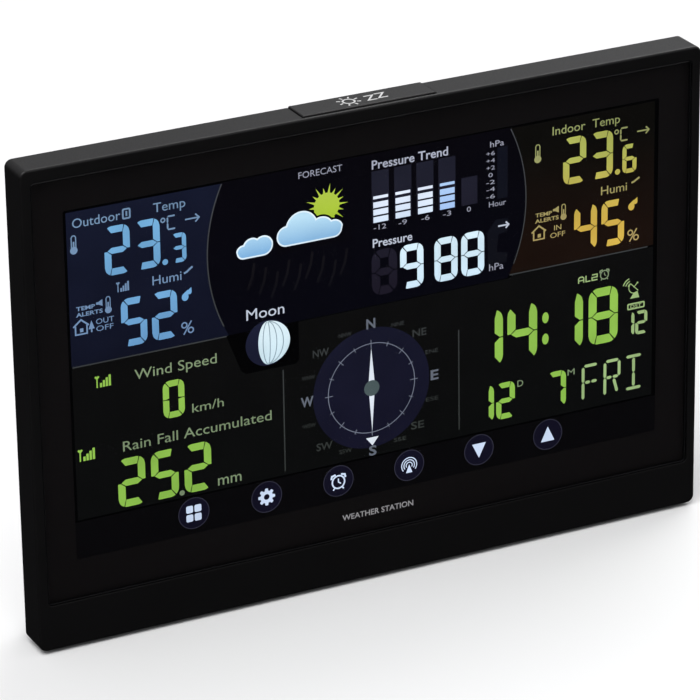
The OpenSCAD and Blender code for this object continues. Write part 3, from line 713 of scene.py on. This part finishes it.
def draw_green():
    light = glow("green_light", (144, 190, 80), (136, 184, 76), 50, 86)
    d = Drawing("green_digits", light, LIT_Y)
    d.digit("0", 26.1, 52.8, 6.2, 10.7, 1.75)
    for char, u in (("2", 12.4), ("5", 22.0), ("2", 31.6)):
        d.digit(char, u, 72.3, 7.9, 14.0, 2.1)
    for char, u in (("1", 118.3), ("4", 128.9), ("1", 143.2), ("8", 154.2)):
        d.digit(char, u, 52.0, 9.2, 16.6, 2.5)
    for v in (57.4, 63.7):
        d.plate(circle(140.7, v, 1.0, 1.6, 32))
    for char, u in (("1", 118.9), ("2", 125.4), ("7", 141.4)):
        d.digit(char, u, 74.0, 5.8, 10.8, 1.6)
    signal(d, 7.0, 47.4, 4.4, 3.2)
    signal(d, 1.4, 67.2, 4.7, 3.3)
    d.finish()
    d = Drawing("green_words", glow("green_text", (126, 144, 112), (118, 136, 106), 47, 86), LIT_Y)
    d.words("Wind Speed", 18.2, 41.9, 50.5, 3.0)
    d.words("km/h", 34.4, 43.6, 63.3, 2.7)
    d.words("Rain Fall Accumulated", 14.2, 57.5, 70.2, 3.0)
    d.words("mm", 41.3, 48.2, 86.0, 3.4)
    d.words("D", 132.0, 133.8, 76.2, 2.0)
    d.words("M", 147.7, 149.9, 76.1, 1.9)
    d.disc(30.75, 85.8, 0.75)
    alarm_clock(d, 159.1, 48.3, 1.25, 0.32)
    d.finish()
    d = Drawing("thin_digits", glow("thin_light", (156, 182, 124), (150, 178, 122), 50, 86), LIT_Y)
    stroke = 0.34
    d.line([(151.0, 49.4), (151.0, 48.0), (151.4, 47.65),
            (152.2, 47.65), (152.6, 48.0), (152.6, 49.4)], stroke)
    d.rect(151.0, 48.5, 152.6, 48.8)
    d.line([(153.3, 47.5), (153.3, 49.25), (154.7, 49.25)], stroke)
    d.line([(155.2, 47.65), (156.8, 47.65), (156.8, 48.45),
            (155.2, 48.45), (155.2, 49.25), (156.9, 49.25)], stroke)
    for char, u in (("1", 164.9), ("2", 169.0)):
        d.digit(char, u, 61.2, 3.8, 7.0, 0.95)
    dish(d, 168.2, 54.2, 1.7)
    for k in (1.0, 1.8, 2.6):
        d.line(circle(167.6, 53.6, k, k, 8, 195, 60), 0.32)
    d.band(round_box(166.4, 58.5, 171.9, 60.4, 0.4), round_box(166.8, 58.9, 171.5, 60.0, 0.2))
    d.words("DST", 167.4, 170.9, 59.95, 1.0, 0.01)
    top, mid, low, t = 74.4, 79.3, 84.0, 0.88
    rods = [(152.6, top + 0.3, 152.6, mid), (152.6, mid, 152.6, low + 0.3), (152.9, top, 157.0, top),
            (153.1, mid, 154.9, mid), (155.1, mid, 157.0, mid),
            (159.5, top + 0.3, 159.5, mid), (159.5, mid, 159.5, low + 0.3), (159.8, top, 163.8, top),
            (164.0, top + 0.3, 164.0, mid), (159.9, mid, 161.7, mid), (161.9, mid, 163.8, mid),
            (162.3, mid + 0.6, 163.4, low), (166.2, top, 171.0, top), (168.6, top + 0.5, 168.6, mid),
            (168.6, mid, 168.6, low - 0.5), (166.2, low, 171.0, low)]
    for r in rods:
        d.rod(*r, t)
    d.finish()


def draw_compass():
    cu, cv, r = 87.4, 67.2, 13.0
    dark = glow("compass_dark", (21, 22, 39), (20, 20, 38), 50, 85, uneven=0.12)
    disc = Drawing("compass_disc", dark, GHOST_Y)
    disc.disc(cu, cv, 17.5, 96)
    disc.finish()
    dial = Drawing("compass_ring", glow("dial_light", (112, 118, 134)), LIT_Y)
    dial.ring(cu, cv, r, 0.22, 128)
    for i in range(16):
        a = math.radians(22.5 * i)
        reach = 1.4 if i % 4 == 0 else (1.2 if i % 2 == 0 else 0.85)
        dial.line([(cu + (r - reach) * math.sin(a), cv - (r - reach) * math.cos(a)),
                   (cu + (r + reach * 0.7) * math.sin(a), cv - (r + reach * 0.7) * math.cos(a))], 0.2)
    dial.finish()
    bright = Drawing("compass_points", glow("points_light", (98, 104, 116)), LIT_Y)
    for text, u, v, half in (("N", 87.4, 49.8, 1.35), ("S", 87.5, 87.0, 1.15),
                             ("W", 68.1, 68.6, 1.9), ("E", 106.5, 68.6, 1.2)):
        bright.words(text, u - half, u + half, v, 2.9, 0.025)
    bright.finish()
    dim = Drawing("compass_words", glow("words_dim", (52, 55, 56), (50, 54, 52), 50, 85), LIT_Y)
    for text, u, v, half in (("NW", 72.4, 54.9, 2.4), ("NE", 102.0, 54.9, 2.1),
                             ("SW", 73.0, 82.3, 2.4), ("SE", 101.2, 82.0, 2.0)):
        dim.words(text, u - half, u + half, v, 2.2, 0.015)
    for text, u, v in (("NNW", 79.7, 50.7), ("NNE", 95.5, 50.7), ("WNW", 68.6, 60.9),
                       ("ENE", 105.7, 60.7), ("WSW", 68.6, 74.9), ("ESE", 105.7, 74.7),
                       ("SSW", 79.3, 84.6), ("SSE", 95.8, 84.6)):
        dim.words(text, u - 1.9, u + 1.9, v, 1.2)
    dim.finish()
    needle = Drawing("compass_needle", glow("needle_light", (222, 230, 242)), OVER_Y)
    needle.plate([(cu - 0.95, cv - 1.0), (cu, cv - 11.6), (cu + 0.95, cv - 1.0)])
    needle.plate([(cu + 0.85, cv + 1.0), (cu, cv + 12.4), (cu - 0.85, cv + 1.0)])
    needle.plate([(cu - 1.9, cv + 14.5), (cu + 1.9, cv + 14.5), (cu, cv + 16.9)])
    needle.finish()
    hub = Drawing("compass_hub", glow("hub_light", (74, 88, 90)), TOP_Y)
    hub.disc(cu, cv, 2.3, 48)
    hub.finish()


# ---------------------------------------------------------------- prints on the lens

# The prints lie inside the lens, just in front of its back face
MASK_Y = LENS_BACK - 0.10 * MM       # opaque print
PRINT_Y = LENS_BACK - 0.14 * MM      # the key discs and the title, in front of it
ICON_Y = LENS_BACK - 0.18 * MM       # the key rings and pictures, in front of the discs
KEY_V, KEY_PITCH, KEY_R = 92.3, 21.5, 4.45


def draw_lens_prints():
    strip_v1 = VIEW_H + STRIP_H
    ink = surface("mask_ink", (24, 20, 21), 0.55, spread=0.10, patches=60, grain=6000, depth=0.004 * MM,
                  Specular_IOR_Level=0.25)
    mask = Drawing("lens_mask", ink, MASK_Y, 0.06, slot="smoked_lens")
    left = (lens_low.x - LIT.x) / MM
    right = (lens_high.x - LIT.x) / MM
    top = (LIT.z - lens_high.z) / MM
    bottom = (LIT.z - lens_low.z) / MM
    mask.band(round_box(left + 0.1, top + 0.1, right - 0.1, bottom - 0.1, 1.1),
              round_box(-0.3, -0.3, VIEW_W + 0.3, strip_v1 + 0.2, 0.5))
    mask.finish()
    dark = surface("strip_ink", (9, 7, 13), 0.6, spread=0.10, patches=60, grain=6000, depth=0.004 * MM,
                   Specular_IOR_Level=0.2)
    strip = Drawing("key_strip", dark, MASK_Y, 0.06, slot="smoked_lens")
    strip.rect(-0.25, VIEW_H + 0.1, VIEW_W + 0.25, strip_v1 + 0.15)
    strip.finish()
    disc = Drawing("key_discs", glow("key_dark", (15, 14, 30), faces=1), PRINT_Y)
    ring = Drawing("key_rings", glow("key_ring", (48, 48, 62), faces=1), ICON_Y)
    icon = Drawing("key_icons", glow("key_light", (206, 222, 248), faces=1), ICON_Y)
    keys = [VIEW_W / 2 + (i - 2.5) * KEY_PITCH for i in range(6)]
    for u in keys:
        disc.disc(u, KEY_V, KEY_R, 64)
        ring.ring(u, KEY_V, KEY_R, 0.2, 72)
    for su in (-1, 1):
        for sv in (-1, 1):
            cu, cv = keys[0] + su * 1.22, KEY_V + sv * 1.28
            icon.plate(round_box(cu - 1.0, cv - 1.04, cu + 1.0, cv + 1.04, 0.42))
    gear(icon, keys[1], KEY_V, 2.45)
    alarm_clock(icon, keys[2], KEY_V + 0.3, 1.85, 0.42)
    waves(icon, keys[3], KEY_V, 2.3)
    u = keys[4]
    icon.plate([(u - 2.1, KEY_V - 1.9), (u + 2.1, KEY_V - 1.9), (u, KEY_V + 2.4)])
    u = keys[5]
    icon.plate([(u - 2.1, KEY_V + 2.0), (u + 2.1, KEY_V + 2.0), (u, KEY_V - 2.4)])
    for d in (disc, ring, icon):
        d.finish()
    pale = surface("pale_ink", (226, 224, 228), 0.5, spread=0.06, grain=5000, depth=0.003 * MM,
                   Specular_IOR_Level=0.3)
    title = Drawing("title_print", pale, PRINT_Y, 0.02, slot="smoked_lens")
    title.words("WEATHER STATION", 77.9, 99.5, 104.5, 1.7, 0.012)
    title.finish()


def draw_lens_edge():
    """The polished chamfer round the lens."""
    gloss = surface("lens_edge", (22, 22, 24), 0.2, spread=0.1, grain=3000, depth=0.002 * MM,
                    Specular_IOR_Level=0.6)
    bm = bmesh.new()
    w, h = (lens_high.x - lens_low.x) / 2 / MM, (lens_high.z - lens_low.z) / 2 / MM
    cz = (lens_high.z + lens_low.z) / 2
    rows = []
    for inset, depth in ((0.34, -0.012), (0.30, -0.03), (-0.08, 0.16), (-0.08, 0.5), (0.34, 0.3)):
        r = 1.2 - inset
        rows.append([bm.verts.new((u * MM, LENS_FRONT + depth * MM, cz + v * MM))
                     for u, v in round_box(-w + inset, -h + inset, w - inset, h - inset, r)])
    n = len(rows[0])
    for k in range(len(rows)):
        a, b = rows[k], rows[(k + 1) % len(rows)]
        for i in range(n):
            j = (i + 1) % n
            bm.faces.new((a[i], b[i], b[j], a[j]))
    bmesh.ops.recalc_face_normals(bm, faces=bm.faces)
    mesh = bpy.data.meshes.new("lens_edge")
    bm.to_mesh(mesh)
    bm.free()
    mesh.materials.append(gloss)
    obj = bpy.data.objects.new("lens_edge", mesh)
    scene.collection.objects.link(obj)
    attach(obj, "console")


# ---------------------------------------------------------------- prints on the case


def draw_bar_print():
    """Sun and two z marks on the snooze bar."""
    low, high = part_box("snooze_bar")
    ink = surface("bar_ink", (205, 205, 205), 0.5, spread=0.08, grain=4000, depth=0.003 * MM,
                  Specular_IOR_Level=0.3)

    def at(u, v, d):
        return Vector((u * MM, low.y + v * MM, high.z + (0.012 - d) * MM))

    d = Drawing("bar_print", ink, 0, 0.03, at=at, body="snooze_bar")
    cu, cv = -4.0, 4.4
    d.ring(cu, cv, 1.6, 0.5, 48)
    for i in range(8):
        a = math.radians(45 * i + 22.5)
        d.line([(cu + 2.2 * math.cos(a), cv + 2.2 * math.sin(a)),
                (cu + 3.3 * math.cos(a), cv + 3.3 * math.sin(a))], 0.48)
    for u, v in ((1.0, 2.6), (4.3, 3.0)):
        d.line([(u, v + 3.2), (u + 2.6, v + 3.2), (u, v), (u + 2.6, v)], 0.52)
    d.finish()


def draw_door_arrow():
    """Arrow let into the battery door, with its front in the plane of the door's face."""
    low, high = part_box("battery_door")
    plastic = MATERIALS["battery_door"]

    def at(u, v, d):
        return Vector((u * MM, high.y - d * MM, v * MM))

    d = Drawing("door_arrow", plastic, 0, 0.25, at=at, body="battery_door", slot="cover_plastic")
    mid = (low.z + high.z) / 2 / MM
    d.plate([(62.0, mid - 3.2), (66.6, mid), (62.0, mid + 3.2)])
    d.finish()


# ---------------------------------------------------------------- CAD nodes


def shell(name, rgb, rough, **values):
    settings = dict(spread=0.16, rough_spread=0.05, patches=45, grain=2600, depth=0.018 * MM,
                    strength=0.35, soft_edge=0.25 * MM)
    settings.update(values)
    return surface(name, rgb, rough, **settings)


def metal(name, rgb, rough, **values):
    settings = dict(Metallic=1.0, spread=0.08, rough_spread=0.08, grain=4000,
                    depth=0.004 * MM, strength=0.3)
    settings.update(values)
    return surface(name, rgb, rough, **settings)


def circuit_board(name):
    """Green mask over copper tracks, with round pads."""
    m = Nodes(name)
    tracks = m.add("ShaderNodeTexVoronoi", feature="DISTANCE_TO_EDGE")
    tracks.inputs["Scale"].default_value = 260
    tracks.inputs["Randomness"].default_value = 0.35
    m.link(m.where, tracks.inputs["Vector"])
    pads = m.add("ShaderNodeTexVoronoi", feature="F1")
    pads.inputs["Scale"].default_value = 330
    m.link(m.where, pads.inputs["Vector"])
    copper = m.ranged(tracks.outputs["Distance"], 1, 0, 0.10, 0.13)
    pad = m.ranged(pads.outputs["Distance"], 1, 0, 0.16, 0.18)
    mask = m.mix(copper, linear((24, 96, 56)), linear((44, 128, 72)))
    colour = m.mix(pad, mask, linear((196, 190, 168)))
    m.link(colour, m.shader.inputs["Base Color"])
    m.link(m.ranged(m.noise(900), 0.28, 0.42), m.shader.inputs["Roughness"])
    m.bump(copper, 0.4, 0.03 * MM)
    return m.mat


def cell_jacket(name):
    """Shrink sleeve with a band near one end, and bare metal at both ends."""
    m = Nodes(name)
    normal = m.add("ShaderNodeNewGeometry").outputs["Normal"]
    facing = m.math("ABSOLUTE", m.axis(0, normal))
    end = m.ranged(facing, 0, 1, 0.5, 0.7)
    along = m.axis(0)
    sleeve = m.mix(m.ranged(m.noise(300), 0, 1), linear((34, 62, 104)), linear((42, 74, 118)))
    after = m.ranged(along, 0, 1, 0.0560, 0.0562)
    before = m.ranged(along, 1, 0, 0.0640, 0.0642)
    band = m.math("MULTIPLY", after, before)
    painted = m.mix(band, sleeve, linear((196, 130, 62)))
    m.link(m.mix(end, painted, linear((200, 200, 196))), m.shader.inputs["Base Color"])
    m.link(end, m.shader.inputs["Metallic"])
    m.link(m.ranged(m.noise(700), 0.22, 0.34), m.shader.inputs["Roughness"])
    m.bump(m.noise(500), 0.15, 0.02 * MM)
    return m.mat


def layered_rubber(name):
    """Thin dark layers across soft pink silicone."""
    m = Nodes(name)
    stripes = m.add("ShaderNodeTexWave", bands_direction="X")
    stripes.inputs["Scale"].default_value = 900
    m.link(m.where, stripes.inputs["Vector"])
    m.link(m.mix(stripes.outputs["Fac"], linear((196, 120, 132)), linear((40, 34, 36))),
           m.shader.inputs["Base Color"])
    m.link(m.ranged(m.noise(1500), 0.6, 0.8), m.shader.inputs["Roughness"])
    m.bump(stripes.outputs["Fac"], 0.3, 0.02 * MM)
    return m.mat


def flat_cable(name):
    m = Nodes(name)
    stripes = m.add("ShaderNodeTexWave", bands_direction="X")
    stripes.inputs["Scale"].default_value = 320
    m.link(m.where, stripes.inputs["Vector"])
    m.link(m.mix(stripes.outputs["Fac"], linear((232, 230, 218)), linear((180, 176, 160))),
           m.shader.inputs["Base Color"])
    m.link(m.ranged(m.noise(1500), 0.3, 0.45), m.shader.inputs["Roughness"])
    m.bump(stripes.outputs["Fac"], 0.4, 0.03 * MM)
    return m.mat


def lens_material():
    m = Nodes("smoked_lens")
    haze = m.noise(40, 2)
    m.link(m.mix(haze, linear((3, 3, 4)), linear((6, 6, 7))), m.shader.inputs["Base Color"])
    m.link(m.ranged(m.noise(800), 0.05, 0.09), m.shader.inputs["Roughness"])
    m.bump(m.noise(60, 1), 0.03, 0.05 * MM)
    m.set(Alpha=1 - LENS_CLEAR, Specular_IOR_Level=0.5, IOR=1.49)
    return m.mat


def make_materials():
    frame_plastic = shell("frame_plastic", (11, 10, 11), 0.42, Specular_IOR_Level=0.35)
    cover_plastic = shell("cover_plastic", (36, 36, 37), 0.50, grain=1900, depth=0.03 * MM,
                          strength=0.5, Specular_IOR_Level=0.4)
    bar_plastic = shell("bar_plastic", (16, 15, 16), 0.45, Specular_IOR_Level=0.38)
    white = surface("white_plastic", (225, 224, 220), 0.5, spread=0.04)
    film = surface("white_sheet", (240, 240, 238), 0.35, spread=0.02, grain=1200, depth=0.004 * MM)
    chip = surface("chip_plastic", (34, 34, 36), 0.55, spread=0.15, grain=3500)
    steel = metal("spring_steel", (214, 214, 210), 0.25)
    plated = metal("screw_steel", (196, 196, 192), 0.32, stretch=(1, 1, 8))
    can = metal("shield_can", (206, 208, 210), 0.38, stretch=(12, 1, 1), grain=1500)
    wire = metal("copper_wire", (206, 128, 84), 0.3, grain=900, stretch=(1, 1, 6), strength=0.6,
                 depth=0.05 * MM)
    led = surface("led_board", (228, 220, 150), 0.35, spread=0.1)
    rubber = surface("pad_rubber", (24, 24, 25), 0.85, spread=0.2, grain=1500, depth=0.03 * MM,
                     strength=0.6, Specular_IOR_Level=0.25)
    made = {
        "front_frame": frame_plastic, "rear_cover": cover_plastic, "battery_door": cover_plastic,
        "foot": cover_plastic, "snooze_bar": bar_plastic, "display_lens": lens_material(),
        "lens_gasket": surface("adhesive", (22, 22, 22), 0.8, grain=1800),
        "lcd_panel": surface("display_glass", (4, 4, 8), 0.15, grain=6000, depth=0.001 * MM),
        "lcd_holder": white, "key_shrouds": white, "climate_sensor": white,
        "diffuser_sheet": film, "reflector_sheet": film,
        "light_guide": surface("clear_acrylic", (222, 236, 240), 0.08, spread=0.03,
                               Transmission_Weight=0.9, IOR=1.49),
        "backlight_bars": led, "key_leds": led, "lcd_connector": layered_rubber("elastomer"),
        "touch_board": circuit_board("circuit_board"), "touch_ribbon": flat_cable("flat_cable"),
        "touch_springs": steel, "cell_springs": steel, "cell_plates": steel,
        "control_chips": chip, "board_parts": chip, "buzzer": chip, "dc_jack": chip,
        "snooze_switch": chip,
        "board_screws": plated, "foot_pins": plated, "radio_module": can, "pressure_sensor": can,
        "radio_antenna": wire, "time_coil": wire,
        "time_ferrite": surface("ferrite", (82, 82, 86), 0.6, grain=2200, depth=0.02 * MM),
        "switch_plunger": surface("switch_yellow", (228, 212, 110), 0.4),
        "aaa_cells": cell_jacket("cell_jacket"), "foot_pads": rubber, "case_pads": rubber,
        "case_screws": metal("black_screw", (62, 62, 66), 0.4),
    }
    made["main_board"] = made["touch_board"]
    return made


def dress_cad():
    for name, material in MATERIALS.items():
        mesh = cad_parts[name].data
        mesh.materials.clear()
        mesh.materials.append(material)


# ---------------------------------------------------------------- stage, light and camera


def make_stage():
    bpy.ops.mesh.primitive_plane_add(size=30, location=(0, 0, 0))
    floor = bpy.context.object
    floor.name = "floor"
    m = Nodes("floor_paper")
    tint = m.ranged(m.noise(2.0, 2), 0, 1)
    m.link(m.mix(tint, (0.86, 0.86, 0.86, 1), (0.90, 0.90, 0.90, 1)), m.shader.inputs["Base Color"])
    m.set(Roughness=0.95, Specular_IOR_Level=0.05)
    floor.data.materials.append(m.mat)
    floor.visible_glossy = False


def make_world():
    world = bpy.data.worlds.new("studio")
    scene.world = world
    world.use_nodes = True
    tree = world.node_tree
    coordinates = tree.nodes.new("ShaderNodeTexCoord")
    split = tree.nodes.new("ShaderNodeSeparateXYZ")
    ramp = tree.nodes.new("ShaderNodeValToRGB")
    tree.links.new(coordinates.outputs["Generated"], split.inputs[0])
    tree.links.new(split.outputs[2], ramp.inputs[0])
    tree.links.new(ramp.outputs[0], tree.nodes["Background"].inputs[0])
    ramp.color_ramp.elements[0].position = 0.0
    ramp.color_ramp.elements[0].color = (0.02, 0.02, 0.021, 1)
    ramp.color_ramp.elements[1].position = 0.25
    ramp.color_ramp.elements[1].color = (0.42, 0.42, 0.43, 1)
    tree.nodes["Background"].inputs[1].default_value = 1.0


def area_light(name, place, target, size, power):
    data = bpy.data.lights.new(name, "AREA")
    data.shape = "SQUARE"
    data.size = size
    data.energy = power
    obj = bpy.data.objects.new(name, data)
    obj.location = place
    obj.rotation_euler = (Vector(target) - Vector(place)).to_track_quat("-Z", "Y").to_euler()
    scene.collection.objects.link(obj)


def make_camera():
    """The photograph's angle: from the left and above, through a long lens."""
    yaw, pitch, roll = math.radians(26.30), math.radians(23.10), math.radians(-0.87)
    distance = 1.2296
    target = Vector((-0.00288, -0.02859, 0.06488))
    forward = Vector((math.sin(yaw) * math.cos(pitch), math.cos(yaw) * math.cos(pitch),
                      -math.sin(pitch)))
    data = bpy.data.cameras.new("camera")
    data.lens = 234.9
    data.sensor_width = 36
    cam = bpy.data.objects.new("camera", data)
    scene.collection.objects.link(cam)
    turn = forward.to_track_quat("-Z", "Y").to_matrix().to_4x4()
    place = Matrix.Translation(target - forward * distance)
    cam.matrix_world = place @ turn @ Matrix.Rotation(roll, 4, "Z")
    scene.camera = cam


scene.view_settings.view_transform = "Standard"
MATERIALS = make_materials()
dress_cad()
draw_panels()
draw_outdoor()
draw_indoor()
draw_forecast()
draw_moon()
draw_pressure()
draw_white_words()
draw_green()
draw_compass()
draw_lens_prints()
draw_lens_edge()
draw_bar_print()
draw_door_arrow()
make_stage()
make_world()
area_light("key", (-0.9, -0.8, 2.2), (0, -0.2, 0), 1.8, 48)
area_light("fill", (1.2, 0.9, 1.8), (0, 0, 0), 1.4, 20)
make_camera()
